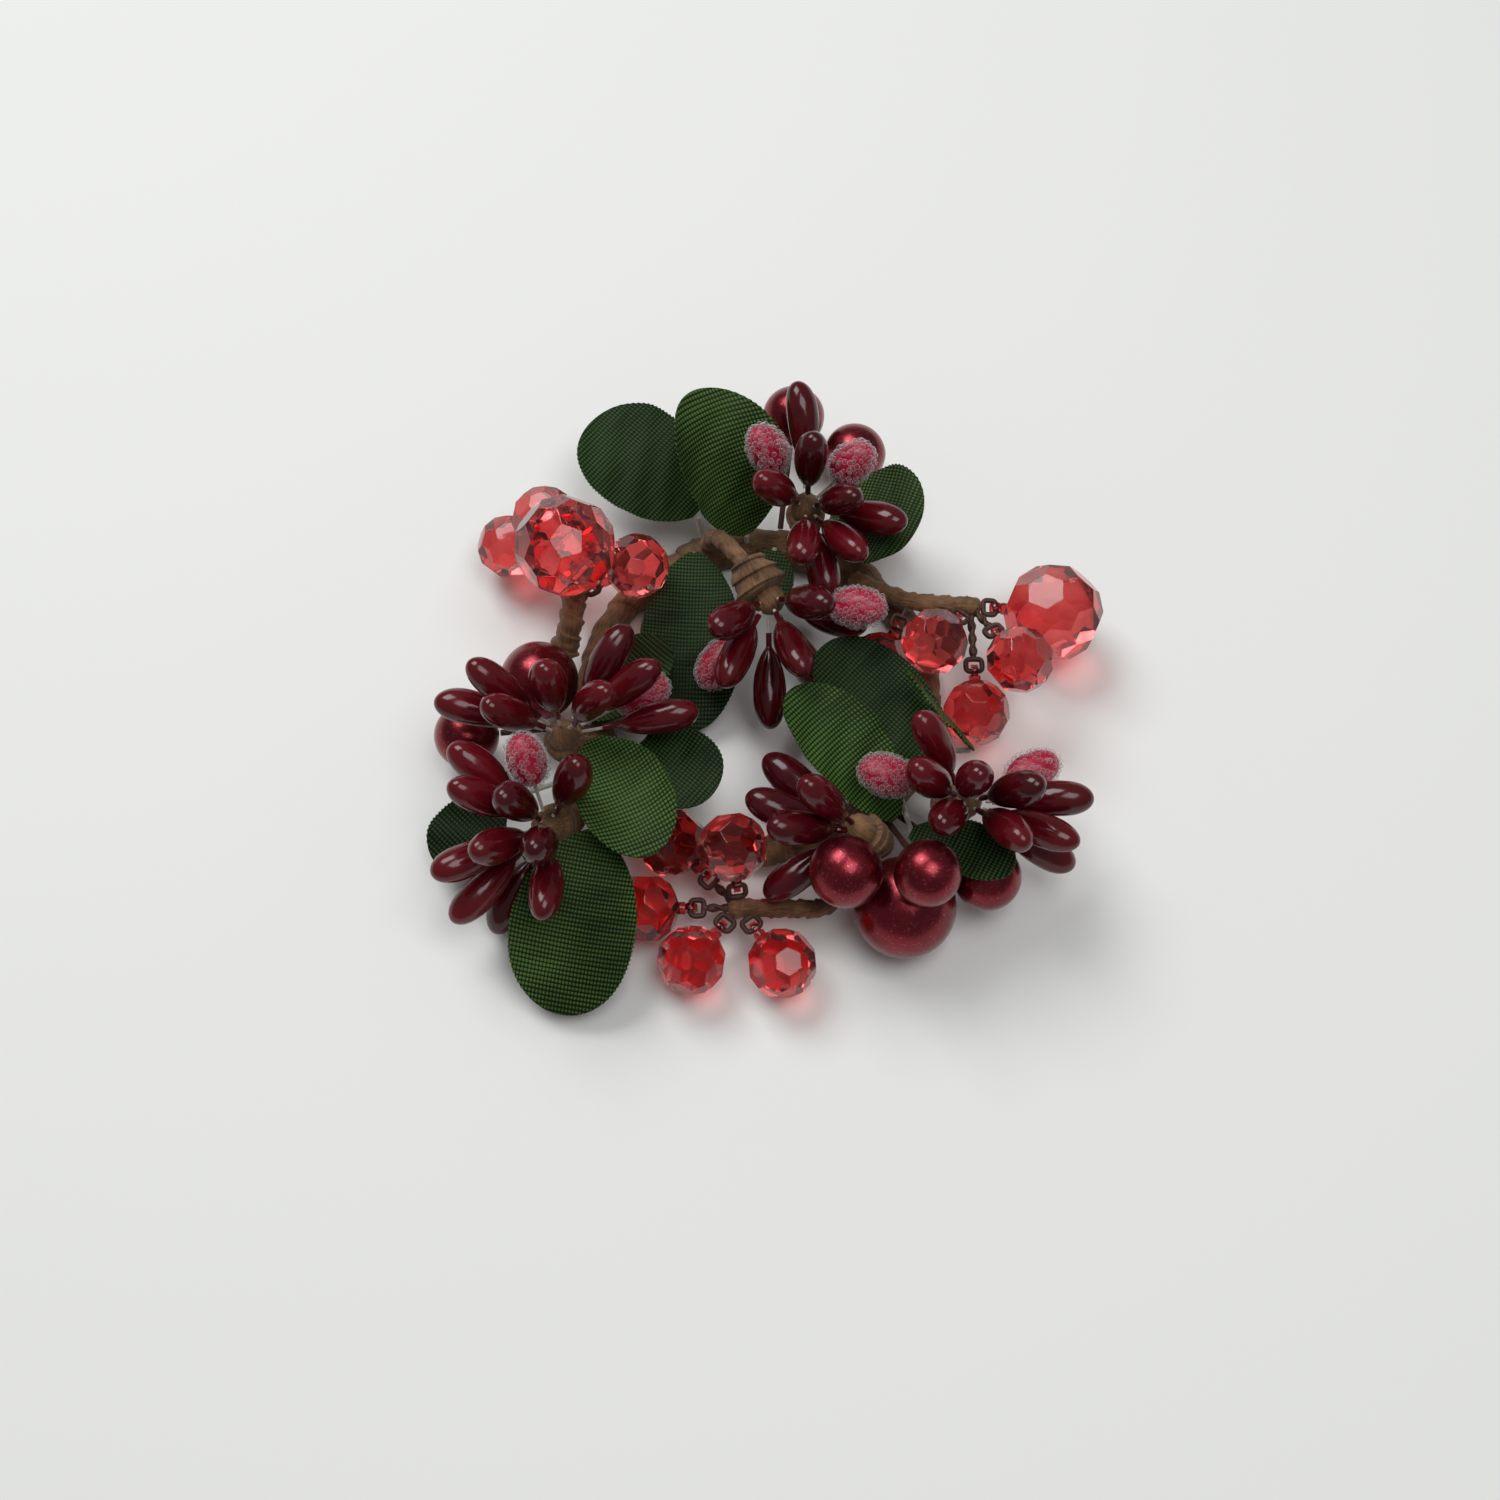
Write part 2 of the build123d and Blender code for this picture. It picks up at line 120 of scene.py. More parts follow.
def skin(name, stack, flat=None, tone=None):
    """A mesh through grids of points in mm, shaped (pieces, rows, columns, 3). Each cell of a grid is a face,
    and rows or columns that meet are merged. flat is each point's place in mm on the unrolled piece, and tone
    is each piece's own shade."""
    stack = np.asarray(stack, float)
    number = np.arange(stack[..., 0].size).reshape(stack.shape[:3])
    corners = (number[:, :-1, :-1], number[:, :-1, 1:], number[:, 1:, 1:], number[:, 1:, :-1])
    faces = np.stack(corners, -1).reshape(-1, 4)
    mesh = bpy.data.meshes.new(name)
    mesh.vertices.add(number.size)
    mesh.vertices.foreach_set("co", (stack * MM).ravel())
    mesh.loops.add(faces.size)
    mesh.loops.foreach_set("vertex_index", faces.ravel())
    mesh.polygons.add(len(faces))
    mesh.polygons.foreach_set("loop_start", np.arange(0, faces.size, 4))
    mesh.update(calc_edges=True)
    if flat is not None:
        layer = mesh.uv_layers.new(name="flat")
        layer.data.foreach_set("uv", np.asarray(flat, float).reshape(-1, 2)[faces.ravel()].ravel())
    if tone is not None:
        spread = np.broadcast_to(np.asarray(tone, float)[:, None, None], number.shape)
        mesh.attributes.new("tone", "FLOAT", "POINT").data.foreach_set("value", spread.ravel())
    work = bmesh.new()
    work.from_mesh(mesh)
    bmesh.ops.remove_doubles(work, verts=work.verts, dist=SAME_POINT)
    bmesh.ops.recalc_face_normals(work, faces=work.faces)
    work.to_mesh(mesh)
    work.free()
    mesh.polygons.foreach_set("use_smooth", np.ones(len(mesh.polygons), bool))
    piece = bpy.data.objects.new(name, mesh)
    bpy.context.scene.collection.objects.link(piece)
    return piece


def fit(piece, material, body, slot, *nodes):
    """Gives a piece its material and its body, and hides the CAD nodes that it stands for, if any. The slot
    is not used.
    """
    piece.data.materials.append(material)
    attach(piece, body)
    if nodes:
        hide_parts(*nodes)


def paint(material, *nodes):
    """Gives CAD pieces that stay in view their material."""
    for name in nodes:
        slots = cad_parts[name].data.materials
        slots.clear()
        slots.append(material)


def rings(rows, sides):
    """Grid with a row for each value and a column for each angle round a full turn."""
    return np.meshgrid(rows, np.linspace(0, FULL_TURN, sides), indexing="ij")


def laps(turns, step):
    """Height of slanting laps of tape: it climbs a step over each turn and drops in the turn's last tenth."""
    part = turns % 1.0
    return step * np.where(part < 1 - LAP_DROP, part / (1 - LAP_DROP), (1 - part) / LAP_DROP)


def crumple(along, around, seed):
    """Uneven waves from about -1 to 1: sines of random length and slant, whole in number round the piece."""
    draw = np.random.default_rng(seed)
    waves = 0
    for _ in range(CREASES):
        rate, slant = draw.uniform(*CREASE_RATE), draw.integers(-CREASE_SLANT, CREASE_SLANT + 1)
        waves = waves + np.sin(rate * along + slant * around + draw.uniform(0, ANY_PHASE))
    return waves / CREASE_CALM


def hoop_surface(bearing, around, reach):
    """Ring: at each bearing, a section round the hoop's centre line, flattened at the table."""
    outward = HOOP_RADIUS + reach * np.cos(around)
    return np.stack([outward * np.cos(bearing), outward * np.sin(bearing),
                     np.maximum(HOOP_HEIGHT + reach * np.sin(around), 0)], -1)


def crepe_paper(name, dark, light):
    """Waxed crepe-paper tape: matt brown, with fine creases along the stem. Its colour is painted darker in
    the creases as shade and paler on their ridges as light, from the crease noise, and varies at random in
    broader patches.
    """
    material = finish_of(name, {"Roughness": 0.62, "Specular IOR Level": 0.35, "Sheen Weight": 0.12})
    flat = add_node(material, "ShaderNodeUVMap", {}, uv_map="flat")
    place = add_node(material, "ShaderNodeMapping", {"Vector": flat.outputs[0], "Scale": (0.55, 2.8, 1)})
    crease = add_node(material, "ShaderNodeTexNoise", {
        "Vector": place.outputs[0], "Scale": 1.0, "Detail": 5.0, "Roughness": 0.62,
        "Distortion": 0.4}).outputs[0]
    # Painted shade in the creases and painted light on their ridges, plus random tone in broader patches.
    crease_shade_and_tone = reckon(material, "ADD", crease, speckle(material, size=4.5, detail=3.0))
    share = ranged(material, crease_shade_and_tone, low=0.72, high=1.3)
    dress(material, {"Base Color": between(material, share, linear(dark), linear(light)),
                     "Normal": relief(material, crease, strength=0.75, depth=0.35)})
    return material


tape_brown = crepe_paper("crepe_paper_brown", "#48301d", "#966f4a")
bearing, around = rings(np.linspace(0, FULL_TURN, HOOP_ROWS), TAPE_SIDES)
reach = HOOP_CORE + laps(HOOP_TURNS * bearing / FULL_TURN + around / FULL_TURN, HOOP_LAP)
for height, count, slant in HOOP_WAVES:
    reach = reach + height * np.sin(count * bearing + slant * around)
hoop_wrap = skin("hoop_wrap_tape", hoop_surface(bearing, around, reach)[None],
                 np.stack([bearing * HOOP_RADIUS, around * WRAP_RADIUS], -1)[None])
fit(hoop_wrap, tape_brown, "ring", "crepe_tape", "hoop_wrap")

# The wire is bare drawn steel, dull grey, and shows only where the tape parts.
steel = finish_of("drawn_steel_wire", {
    "Base Color": linear("#8d8a86"), "Metallic": 1.0, "Roughness": 0.35})
dress(steel, {"Normal": relief(steel, speckle(steel, size=0.6), strength=0.2, depth=0.05)})
paint(steel, "hoop_wire", "spray_stem_wires")

# Bindings: a second, wider winding of the same tape that ties the tails of each group to the hoop,
# 6.4 mm thick, thinning out to the plain hoop at both ends. Each runs from one bearing to another.
BINDINGS = ((46, 118), (184, 236), (278, 334))
BINDING_RADIUS, BINDING_FOOT, LAP_ROOM, BINDING_TAPER = 3.2, 2.2, 0.48, 1.2
# A winding of tape: its pitch, the step of its laps and the depth of its creases.
BINDING_TAPE = (4.2, 0.34, 0.1)
BINDING_ROWS, BINDING_SEED = 181, 11


def winding(along, around, pitch, step, rough, seed, stretch=1.0):
    """Height of wound tape: slanting laps, and creases that are closer together where stretch is larger."""
    return laps(along / pitch + around / FULL_TURN, step) + rough * crumple(along * stretch, around, seed)


grids, flats = [], []
for number, (start, stop) in enumerate(BINDINGS):
    bearing, around = rings(np.radians(np.linspace(start, stop, BINDING_ROWS)), TAPE_SIDES)
    along = bearing * HOOP_RADIUS
    edge = np.minimum(bearing - bearing[0], bearing[-1] - bearing) * HOOP_RADIUS
    cover = np.clip(edge / BINDING_TAPER, 0, 1) ** 0.5
    tape = winding(along, around, *BINDING_TAPE, BINDING_SEED + number)
    thick = BINDING_RADIUS - BINDING_FOOT - LAP_ROOM + tape
    grids.append(hoop_surface(bearing, around, BINDING_FOOT + thick * cover))
    flats.append(np.stack([along, around * BINDING_RADIUS], -1))
fit(skin("group_binding_tape", grids, flats), tape_brown, "ring", "crepe_tape", "group_bindings")

# Sprays: each taped stem rises from the hoop to a head, where the tape is built up in laps as a collar
# round the bound ends of the stamen threads. Root bearing, head, collar's bearing and lift, and collar width.
SPRAYS = {
    "top": (74, (7.2, 24.9, 15.0), (90, 88), 6.0),
    "centre": (108, (1.4, 9.5, 15.0), (-56, -14), 8.4),
    "left_upper": (203, (-28.4, -11.9, 13.0), (-157, 88), 6.0),
    "left_lower": (221, (-29.9, -26.1, 13.0), (-139, 40), 6.0),
    "right_inner": (305, (14.3, -26.7, 13.0), (172, 55), 6.0),
    "right_outer": (327, (29.3, -22.4, 13.0), (-34, 58), 6.0),
}
STEM_RADIUS, STEM_CORE, STEM_TAPE, STEM_SEED = 1.4, 1.18, (3.4, 0.24, 0.08), 21
# The collar's radius and laps of tape are shares of its width, at places in mm along it from the head.
COLLAR_PLACES, COLLAR_SWELL = (-6.6, -6.2, -4.2, -1.9, -1.3, -0.9), (0.2, 0.3, 0.38, 0.46, 0.44, 0.28)
COLLAR_TAPE, COLLAR_STRETCH, COLLAR_FADE, COLLAR_SEED = (2.1, 0.055, 0.02), 1.3, 0.3, 31
DOME_RADIUS, DOME_CORE, DOME_FOOT = 2.6, 2.45, -np.pi / 6
FOLDS, FOLD_DEPTH, FOLD_SHIFT = 6, 0.1, 0.4
SPRAY_ROWS, SPRAY_SIDES = 161, 41
# The sections of a tube are turned from a way that no stem runs along.
UPWARD, OFF_STEM = np.array([0, 0, 1.0]), (0.31, 0.87, 0.38)


def aim(bearing, lift):
    """Unit vector at a bearing from +X and a lift above level, in degrees."""
    level = np.cos(np.radians(lift))
    return np.array([level * np.cos(np.radians(bearing)), level * np.sin(np.radians(bearing)),
                     np.sin(np.radians(lift))])


def on_hoop(bearing):
    """Point on the hoop's centre line."""
    return aim(bearing, 0) * HOOP_RADIUS + (0, 0, HOOP_HEIGHT)


def unit(vectors):
    """Each vector divided by its length."""
    return vectors / np.linalg.norm(vectors, axis=-1, keepdims=True)


def walked(path):
    """Distance along a path, from its start to each of its points."""
    return np.concatenate([[0], np.cumsum(np.linalg.norm(np.diff(path, axis=0), axis=1))])


def tube(path, radius, around):
    """Tube: at each point of a path, a section square to it at the given radii, turned from a fixed side."""
    run = unit(np.gradient(path, axis=0))
    side = unit(np.cross(run, np.cross(path[-1] - path[0], OFF_STEM)))
    other = np.cross(run, side)
    return (path[:, None] + radius[..., None] * np.cos(around)[..., None] * side[:, None]
            + radius[..., None] * np.sin(around)[..., None] * other[:, None])


def stem_path(start, start_way, end, end_way, share):
    """Cubic from start to end that leaves and arrives along given ways. Each way's parts along the three axes
    are stretched until they add up to those of the gap."""
    gap = np.abs(end - start).sum()
    leave, arrive = gap / np.abs(start_way).sum() * start_way, gap / np.abs(end_way).sum() * end_way
    t = share[:, None]
    return ((1 + 2 * t) * (1 - t) ** 2 * start + t * (1 - t) ** 2 * leave
            + t * t * (3 - 2 * t) * end + t * t * (t - 1) * arrive)


for number, (name, (root, head, axis, width)) in enumerate(SPRAYS.items()):
    head, way = np.array(head), aim(*axis)
    path = stem_path(on_hoop(root), UPWARD, head, way, np.linspace(0, 1, SPRAY_ROWS))
    along, around = rings(walked(path), SPRAY_SIDES)
    stem = tube(path, STEM_CORE + winding(along, around, *STEM_TAPE, STEM_SEED + number), around)
    rise = np.linspace(COLLAR_PLACES[0], COLLAR_PLACES[-1], SPRAY_ROWS)
    line = head + rise[:, None] * way
    rise = np.broadcast_to(rise[:, None], around.shape)
    tape = (winding(rise, around, *COLLAR_TAPE, COLLAR_SEED + number, COLLAR_STRETCH)
            * np.clip((COLLAR_PLACES[-1] - rise) / COLLAR_FADE, 0, 1))
    collar = tube(line, width * (np.interp(rise, COLLAR_PLACES, COLLAR_SWELL) + tape), around)
    angle = np.linspace(DOME_FOOT, np.pi / 2, SPRAY_ROWS)
    line = head + DOME_RADIUS * np.sin(angle)[:, None] * way
    folds = 1 - FOLD_DEPTH * np.abs(np.sin(FOLDS * around + FOLD_SHIFT * number)) * np.cos(angle)[:, None]
    dome = tube(line, DOME_CORE * np.cos(angle)[:, None] * folds, around)
    flats = [np.stack([run, around * radius], -1)
             for run, radius in ((along, STEM_RADIUS), (rise, width / 2), (rise, DOME_RADIUS))]
    spray = skin(f"{name}_spray_tape_wound", np.stack([stem, collar, dome]), np.stack(flats))
    fit(spray, tape_brown, "ring", "crepe_tape", f"{name}_spray_tape")

# Stamen threads: stiffened white cotton, bound under the tape of each head and glued into each pip's tail.
# They are off-white and matt, with painted shade between their strands, made darker by the same noise that
# gives their relief.
thread_white = finish_of("stiffened_cotton_thread", {"Roughness": 0.75, "Sheen Weight": 0.2})
strand_relief_and_shade = speckle(thread_white, size=0.5, detail=3.0)
# The darker colour is painted shade between the strands, where the relief sinks.
dress(thread_white, {"Base Color": between(thread_white, strand_relief_and_shade, linear("#8f8474"), linear("#d8d0c4")),
                     "Normal": relief(thread_white, strand_relief_and_shade, strength=0.5, depth=0.12)})
paint(thread_white, "stamen_threads")

# Pips: foam beans dipped in burgundy lacquer, 4.8 mm thick, with a neck of lacquer that runs down the
# thread. No two are the same: each is a little bent, flattened and lighter or darker.
PIP_RADIUS, PIP_LENGTH, NECK, NECK_RADIUS, NECK_HIDDEN = 2.4, 12.5, 1.8, 0.42, 2
WIDEST, TAIL_POWER, NOSE_POWER = 0.6, 0.7, 2.3
LUMP, LUMPS_ROUND, LUMP_SLANT = 0.03, 2, 5
# The least and the greatest bow in mm, flatness, side, size and phase of the lumps, then the palest tone.
PIP_LEAST, PIP_GREATEST, PIP_TONE = (-0.5, 0.96, 0, 1.0, 0), (0.5, 1.04, 3, 1.08, 6), 0.8
NECK_ROWS, NECK_STOP, PIP_ROWS, PIP_SIDES, PIP_SEED = 6, -0.2, 31, 29, 7
# An end is this share of a drop's length. A drop's sections are turned from a way that none points along.
END_SHARE, OFF_DROP = 0.3, (0.23, 0.61, 0.76)


def solids(node):
    """Points of each separate solid of a CAD node, in mm: points joined by faces share the lowest number."""
    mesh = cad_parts[node].data
    points = np.empty(len(mesh.vertices) * 3)
    mesh.vertices.foreach_get("co", points)
    points, index = np.unique(np.round(points.reshape(-1, 3) / MM, 4), axis=0, return_inverse=True)
    corners = np.empty(len(mesh.loops), int)
    mesh.loops.foreach_get("vertex_index", corners)
    corners = index.ravel()[corners].reshape(-1, 3)
    label, last = np.arange(len(points)), None
    while last is None or (label != last).any():
        last = label
        label = label.copy()
        np.minimum.at(label, corners.ravel(), np.repeat(last[corners].min(1), 3))
        label = label[label]
    return [points[label == number] for number in np.unique(label)]


def ends(points):
    """Tail and nose of a drop-shaped solid: the ends of its longest axis, the thin one first."""
    middle = points.mean(0)
    axis = np.linalg.eigh(np.cov((points - middle).T))[1][:, -1]
    place = (points - middle) @ axis
    thick = np.linalg.norm(points - middle - place[:, None] * axis, axis=1)
    tail, nose = place.min(), place.max()
    near = END_SHARE * (nose - tail)
    if thick[place < tail + near].max() >= thick[place > nose - near].max():
        tail, nose = nose, tail
    core = points[np.abs(place - tail) < near].mean(0)
    core = core - ((core - middle) @ axis) * axis
    return core + tail * axis, core + nose * axis


def rounded(rows):
    """Shares from 0 to 1 that are closer together at both ends, like the heights of even angles on a ball."""
    return (1 - np.cos(np.linspace(0, np.pi, rows))) / 2


def lathe(tail, nose, share, radius, around, bow=0.0, flat=1.0, side=0.0):
    """Drop from tail to nose: a radius for each share of the way, bowed sideways and squeezed across."""
    way = unit(nose - tail)
    first = unit(np.cross(way, OFF_DROP))
    second = np.cross(way, first)
    first, second = (np.cos(side) * first + np.sin(side) * second,
                     np.cos(side) * second - np.sin(side) * first)
    line = tail + share[:, None] * (nose - tail) + bow * np.sin(np.pi * share)[:, None] * first
    return (line[:, None] + (radius * np.cos(around))[..., None] * first
            + (flat * radius * np.sin(around))[..., None] * second)


# The lacquer is deep and wet-looking, with a gloss that runs a little softer where it pooled.
FLOW_SHARE = 0.7
lacquer = finish_of("burgundy_lacquer", {"Specular IOR Level": 0.42})
tone = add_node(lacquer, "ShaderNodeAttribute", {}, attribute_name="tone").outputs["Fac"]
flow = speckle(lacquer, size=2.6)
depth = ranged(lacquer, reckon(lacquer, "MULTIPLY_ADD", flow, FLOW_SHARE, tone), low=0.2, high=1.3)
dress(lacquer, {
    "Base Color": between(lacquer, depth, linear("#310409"), linear("#69101a")),
    "Roughness": ranged(lacquer, flow, low=0.3, high=0.7, to_low=0.12, to_high=0.22),
    "Normal": relief(lacquer, flow, strength=0.35, depth=0.3)})
place = np.concatenate([np.linspace(-NECK, NECK_STOP, NECK_ROWS), PIP_LENGTH * rounded(PIP_ROWS)])
swell = np.clip(place / PIP_LENGTH, 0, 1)
toward_nose = np.clip((swell - WIDEST) / (1 - WIDEST), 0, 1)
swell = PIP_RADIUS * np.where(swell < WIDEST, np.sin(np.pi / 2 * (swell / WIDEST) ** TAIL_POWER),
                              np.sqrt(1 - toward_nose ** NOSE_POWER))
swell = np.maximum(swell, NECK_RADIUS * (place < NECK_HIDDEN))
share = (place + NECK) / (PIP_LENGTH + NECK)
rows, around = rings(share, PIP_SIDES)
chance = np.random.default_rng(PIP_SEED)
for name in SPRAYS:
    drops, tones = [], []
    for points in solids(f"{name}_pips"):
        tail, nose = ends(points)
        tail = tail - NECK * (nose - tail) / PIP_LENGTH
        bow, flat, side, size, phase = chance.uniform(PIP_LEAST, PIP_GREATEST)
        radius = size * swell[:, None] * (1 + LUMP * np.sin(LUMPS_ROUND * around + LUMP_SLANT * rows + phase))
        drops.append(lathe(tail, nose, share, radius, around, bow, flat, side))
        tones.append(chance.uniform(0, PIP_TONE))
    fit(skin(f"{name}_lacquered_pips", drops, tone=tones), lacquer, "ring", "pip_lacquer", f"{name}_pips")

# Sugared berries: pink foam cores rolled in glue and clear glass micro-beads, 6.6 mm over the beads. The
# core shows through them, and they pile up to a grey-white rim.
CORE_RADIUS, CORE_POWER, CORE_TAPER, CORE_INSET = 2.72, 0.9, 0.12, 0.06
CORE_RIPPLE, CORE_RIPPLES, CORE_ROWS, CORE_SIDES = 0.02, 3, 21, 25
GRAIN_RADIUS, GRAINS, GRAIN_SIZES, GRAIN_ROWS, GRAIN_SIDES = 0.44, 190, (0.75, 1.15), 5, 8
GRAIN_SEAT, SEAT_RANGE, GRAIN_STRAY = 0.16, (-0.08, 0.12), 0.12
GOLDEN_TURN = np.pi * (1 + 5 ** 0.5)
# The core is a deep pink with darker flecks of dye.
pink_core = finish_of("pink_foam_core", {"Roughness": 0.4})
dye = speckle(pink_core, size=0.8, detail=3.0)
dress(pink_core, {"Base Color": between(pink_core, dye, linear("#8a0428"), linear("#c81242"))})
# Each glass bead is clear in its middle and turns pale and opaque toward its rim, a painted reflection.
glass_grain = finish_of("clear_glass_micro_beads", {
    "Base Color": linear("#ddd0d3"), "Roughness": 0.06, "Specular IOR Level": 0.8})
# The pale, opaque rim seen at a slant is a painted reflection of the glass.
painted_rim_reflection = add_node(glass_grain, "ShaderNodeLayerWeight", {"Blend": 0.5}).outputs["Facing"]
dress(glass_grain, {"Alpha": ranged(glass_grain, painted_rim_reflection, low=0.3, high=0.85, to_low=0.05, to_high=0.85)})
share = rounded(CORE_ROWS)
around = np.linspace(0, FULL_TURN, CORE_SIDES)
egg = CORE_RADIUS * np.sqrt(4 * share * (1 - share)) ** CORE_POWER * (1 - CORE_TAPER * (share - 0.5))
polar, turned = rings(np.linspace(0, np.pi, GRAIN_ROWS), GRAIN_SIDES)
ball = np.stack([np.sin(polar) * np.cos(turned), np.sin(polar) * np.sin(turned), np.cos(polar)], -1)
cores, grains = [], []
for points in solids("sugared_berries"):
    tail, nose = ends(points)
    tail, nose = tail + CORE_INSET * (nose - tail), nose - CORE_INSET * (nose - tail)
    section = egg[:, None] * (1 + CORE_RIPPLE * np.sin(CORE_RIPPLES * around))
    cores.append(lathe(tail, nose, share, section, around))
    spiral = (np.arange(GRAINS) + 0.5) / GRAINS
    turn = GOLDEN_TURN * np.arange(GRAINS) + chance.normal(0, GRAIN_STRAY, GRAINS)
    out = np.interp(spiral, share, egg)[:, None] + GRAIN_SEAT + chance.uniform(*SEAT_RANGE, (GRAINS, 1))
    seats = lathe(tail, nose, spiral, out, turn[:, None])
    size = GRAIN_RADIUS * chance.uniform(*GRAIN_SIZES, (GRAINS, 1, 1, 1))
    grains.append(seats[:, None] + size * ball)
fit(skin("sugared_berry_cores", cores), pink_core, "ring", "sugared", "sugared_berries")
fit(skin("sugared_berry_glass_grains", np.concatenate(grains)), glass_grain, "ring", "sugared")

# Metallic berries: foam balls sprayed with pearl burgundy lacquer, 10 to 15 mm, slightly uneven and a
# little flat where the wire goes in.
BERRY_INSET, BERRY_FLAT, UNEVEN, UNEVEN_PITCH = 0.06, 0.94, 0.012, 4
BERRY_ROWS, BERRY_SIDES = 49, 65
# The pearl coat is deep red metal with pale flakes, under a thin clear coat.
pearl = finish_of("pearl_burgundy_lacquer", {"Metallic": 0.85, "Coat Weight": 0.25, "Coat Roughness": 0.2})
grain = speckle(pearl, size=0.4, detail=4.0, Roughness=0.7)
cloud = speckle(pearl, size=3.5, detail=3.0)
flake = ranged(pearl, grain, low=0.58, high=0.76, to_high=0.7)
base = between(pearl, cloud, linear("#590b16"), linear("#90212f"))
dress(pearl, {
    "Base Color": between(pearl, flake, base, linear("#d88890")),
    "Roughness": ranged(pearl, cloud, low=0.3, high=0.7, to_low=0.22, to_high=0.32),
    "Normal": relief(pearl, grain, strength=0.2, depth=0.12)})
share = rounded(BERRY_ROWS)
rows, around = rings(share, BERRY_SIDES)
for group in ("top", "left", "right"):
    balls = []
    for points in solids(f"{group}_metallic_berries"):
        centre = (points.min(0) + points.max(0)) / 2
        radius = (points.max(0) - points.min(0)).max() / 2 - BERRY_INSET
        toward = aim(np.degrees(np.arctan2(centre[1], centre[0])), 0) * HOOP_RADIUS - centre
        toward = radius * unit(toward)
        uneven = crumple(UNEVEN_PITCH * rows, around, len(points)) * np.sin(np.pi * rows)
        section = radius * 2 * np.sqrt(rows * (1 - rows)) * (1 - UNEVEN + UNEVEN * uneven)
        balls.append(lathe(centre + BERRY_FLAT * toward, centre - toward, share, section, around))
    fit(skin(f"{group}_pearl_berries", balls), pearl, "ring", "metallic_berry", f"{group}_metallic_berries")

# Berry wires and the loops of the bead sprigs: soft iron wire in a dark brown paper cover. The two ends of
# each loop are twisted together between the loop and the tape.
TWIST_LENGTH, TWIST_RADIUS, TWIST_WAIST, LOOP_REACH = 2.0, 0.66, 0.52, 2.7
TWIST_START, TWIST_FADE, SHORTEST_TWIST, TWIST_ROWS, TWIST_SIDES = -0.6, 0.15, 0.8, 61, 25
# The paper cover is fibrous and half matt; its colour is painted nearly black in its folds as shade, by the
# same noise that gives its relief.
covered_wire = finish_of("paper_covered_wire", {"Roughness": 0.5, "Specular IOR Level": 0.4})
fibre_and_fold_shade = speckle(covered_wire, size=0.7, detail=4.0)
# The darker colour is painted shade in the folds, where the relief sinks.
dress(covered_wire, {"Base Color": between(covered_wire, fibre_and_fold_shade, linear("#23130f"), linear("#57352a")),
                     "Normal": relief(covered_wire, fibre_and_fold_shade, strength=0.5, depth=0.15)})
paint(covered_wire, "berry_wires", "left_sprig_wires", "right_sprig_wires", "front_sprig_wires")
for side in ("left", "right", "front"):
    twists = []
    for points in solids(f"{side}_sprig_wires"):
        tail, nose = ends(points)
        length = np.linalg.norm(nose - tail) - LOOP_REACH
        if length > SHORTEST_TWIST:
            along, around = rings(np.linspace(TWIST_START, length, TWIST_ROWS), TWIST_SIDES)
            strands = np.cos(around - np.pi * along / TWIST_LENGTH) ** 2
            strands = TWIST_WAIST + (1 - TWIST_WAIST) * strands
            strands = strands * np.clip((length - along) / TWIST_FADE, 0, 1) ** 0.5
            twists.append(tube(tail + along[:, :1] * unit(nose - tail), TWIST_RADIUS * strands, around))
    fit(skin(f"{side}_twisted_loop_ends", twists), covered_wire, f"{side}_sprig", "brown_wire")

# Leaves: ovals hot-cut from stiffened green polyester cloth, bent and cupped by the heat, each glued to a
# white covered wire. Stalk, bearing, lift and roll, then length, width, bend and cup, and the cloth's shade.
LEAVES = {
    "top_leaf_outer_left": ((-9.6, 28.2, 8.0), (141, 24, 0), (21.5, 18.0, -60, 40), "dark"),
    "top_leaf_back": ((-1.8, 24.0, 9.0), (108, 56, -20), (22.0, 18.0, -36, 15), "mid"),
    "top_leaf_right": ((11.6, 25.6, 12.5), (-26, 30, 0), (14.0, 18.5, -40, 30), "mid"),
    "top_leaf_inner": ((-9.8, 21.4, 7.4), (-92, 2, 0), (28.0, 15.5, -72, 30), "dark"),
    "top_leaf_small": ((2.4, 21.6, 7.6), (-100, 6, 0), (10.0, 8.0, -25, 16), "dark"),
    "left_leaf_back": ((-25.6, -6.6, 7.0), (42, 4, 22), (16.5, 13.0, 70, 30), "dark"),
    "left_leaf_upper": ((-23.6, -14.2, 16.5), (-64, 14, 0), (20.0, 13.5, -60, 14), "mid"),
    "left_leaf_inner": ((-16.8, -12.0, 11.2), (-39, 4, -6), (13.0, 12.0, -60, 30), "dark"),
    "left_leaf_front": ((-23.4, -26.6, 12.5), (-101, -6, 0), (25.5, 18.0, -50, 24), "mid"),
    "left_leaf_outer": ((-37.4, -20.2, 8.0), (-135, -6, 0), (13.0, 11.0, -50, 24), "dark"),
    "right_leaf_light": ((19.7, -23.5, 9.5), (130, 31, -10), (23.5, 12.7, -60, 14), "light"),
    "right_leaf_long": ((27.2, -14.4, 9.4), (138, 18, 6), (24.5, 13.6, -70, 40), "dark"),
    "right_leaf_edge": ((30.8, -14.3, 13.1), (142, 24, -60), (15.0, 7.0, 80, 30), "light"),
    "right_leaf_low": ((21.6, -26.9, 12.4), (-24, 19, 8), (15.5, 9.2, -60, 20), "dark"),
}
CLOTH, STALK, RIB_PITCH, THREAD_PITCH, RIB_POWER, THREAD_POWER = 0.32, 1.0, 0.6, 0.5, 1.6, 1.1
OVAL_SHIFT, OVAL_POWER, SAW_DEPTH, SAW_FADE = 1.272, 2.2, 0.5, 0.05
